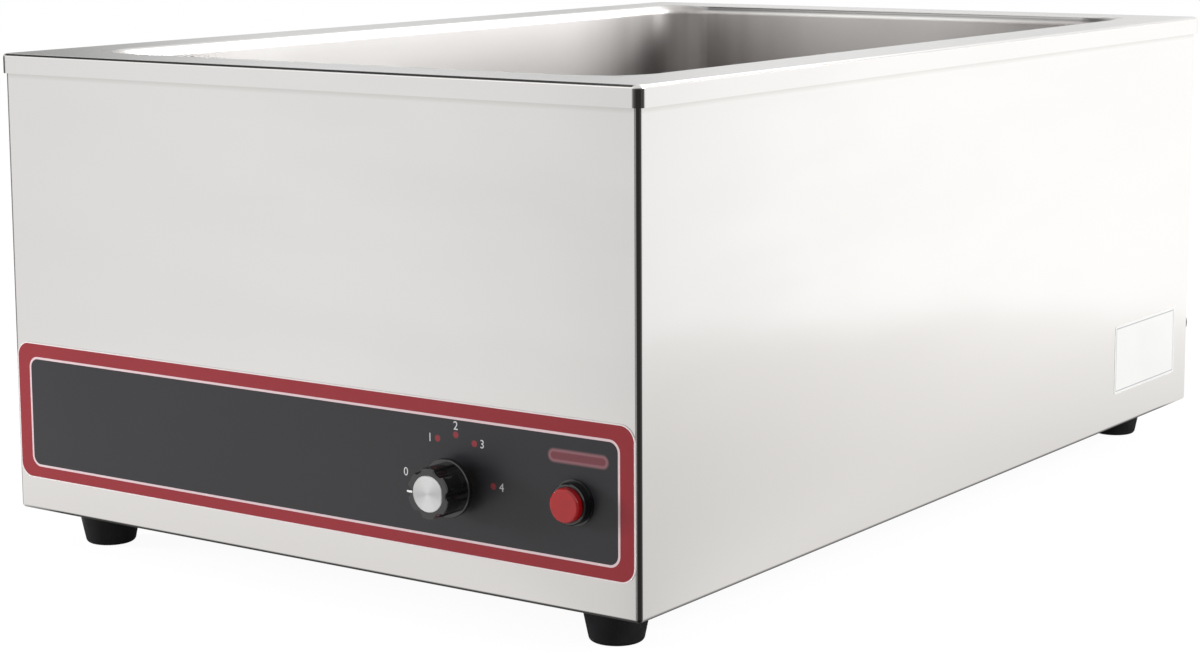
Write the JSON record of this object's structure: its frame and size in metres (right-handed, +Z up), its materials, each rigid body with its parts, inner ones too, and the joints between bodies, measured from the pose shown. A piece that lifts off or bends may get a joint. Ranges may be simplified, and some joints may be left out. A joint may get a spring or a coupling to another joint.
{
  "type": "countertop steam table food warmer",
  "caption": "Boxy stainless countertop food warmer with a deep rectangular well in its deck, a printed front strip with a knob and a red lamp, and rubber feet.",
  "frame": {"origin": "on the table, under the middle of the casing", "axes": "+X to the right as seen from the front, +Y towards the rear panel, +Z up"},
  "size_m": [0.373, 0.6122, 0.2425],
  "materials": {
    "stainless": "bright annealed",
    "zinc_steel": "zinc plated",
    "galvanised": "galvanised sheet",
    "sheath": "heat tinted",
    "bright_aluminium": "spun",
    "brass": "machined",
    "copper": "drawn",
    "black_rubber": "satin",
    "black_plastic": "gloss",
    "dark_nylon": "satin",
    "pale_plastic": "satin",
    "brown_moulding": "satin",
    "overlay_print": "satin",
    "red_lens": "gloss",
    "bulb_glass": "clear",
    "mineral_wool": "matte",
    "ceramic": "matte",
    "brown_wire": "satin",
    "blue_wire": "satin",
    "green_wire": "satin",
    "white_wire": "satin"
  },
  "bodies": {
    "housing": {"well_pan": "stainless", "casing_wrap": "stainless", "rear_panel": "stainless", "rear_panel_screws": "zinc_steel", "base_panel": "galvanised", "base_screws": "zinc_steel", "foot_front_left": "black_rubber", "foot_front_right": "black_rubber", "foot_rear_left": "black_rubber", "foot_rear_right": "black_rubber", "foot_bolts": "zinc_steel", "foot_washers": "zinc_steel", "foot_nuts": "zinc_steel", "control_overlay": "overlay_print", "thermostat_body": "zinc_steel", "control_nut": "brass", "thermostat_tabs": "brass", "lamp_bezel": "black_plastic", "lamp_lens": "red_lens", "lamp_nut": "zinc_steel", "bulb_holder": "pale_plastic", "neon_bulb": "bulb_glass", "heat_shield": "galvanised", "shield_screws": "zinc_steel", "heating_element": "sheath", "element_bushes": "ceramic", "element_pins": "zinc_steel", "element_clamp_front": "galvanised", "element_clamp_middle": "galvanised", "element_clamp_rear": "galvanised", "weld_studs": "zinc_steel", "clamp_nuts": "zinc_steel", "slab_washers": "zinc_steel", "reflector_tray": "bright_aluminium", "base_insulation": "mineral_wool", "side_insulation": "mineral_wool", "limit_cutout": "brown_moulding", "limit_nuts": "zinc_steel", "sensing_bulb": "copper", "bulb_clips": "zinc_steel", "terminal_block": "pale_plastic", "terminal_screws": "brass", "block_screws": "zinc_steel", "earth_stud": "brass", "earth_nuts": "brass", "gland_body": "dark_nylon", "gland_seal": "black_rubber", "gland_cap": "dark_nylon", "gland_locknut": "dark_nylon", "live_lead": "brown_wire", "neutral_lead": "blue_wire", "earth_lead": "green_wire", "limit_lead": "white_wire", "element_lead": "white_wire", "capillary": "copper", "lamp_leads": "white_wire"},
    "knob": {"control_knob": "black_plastic", "knob_cap": "bright_aluminium", "control_shaft": "zinc_steel"}
  },
  "joints": [
    {"name": "knob_turn", "type": "hinge", "parent": "housing", "child": "knob", "pos_m": [0.0893, -0.2855, 0.0654], "axis": [0, 1, 0], "range_deg": [0, 180]}
  ]
}
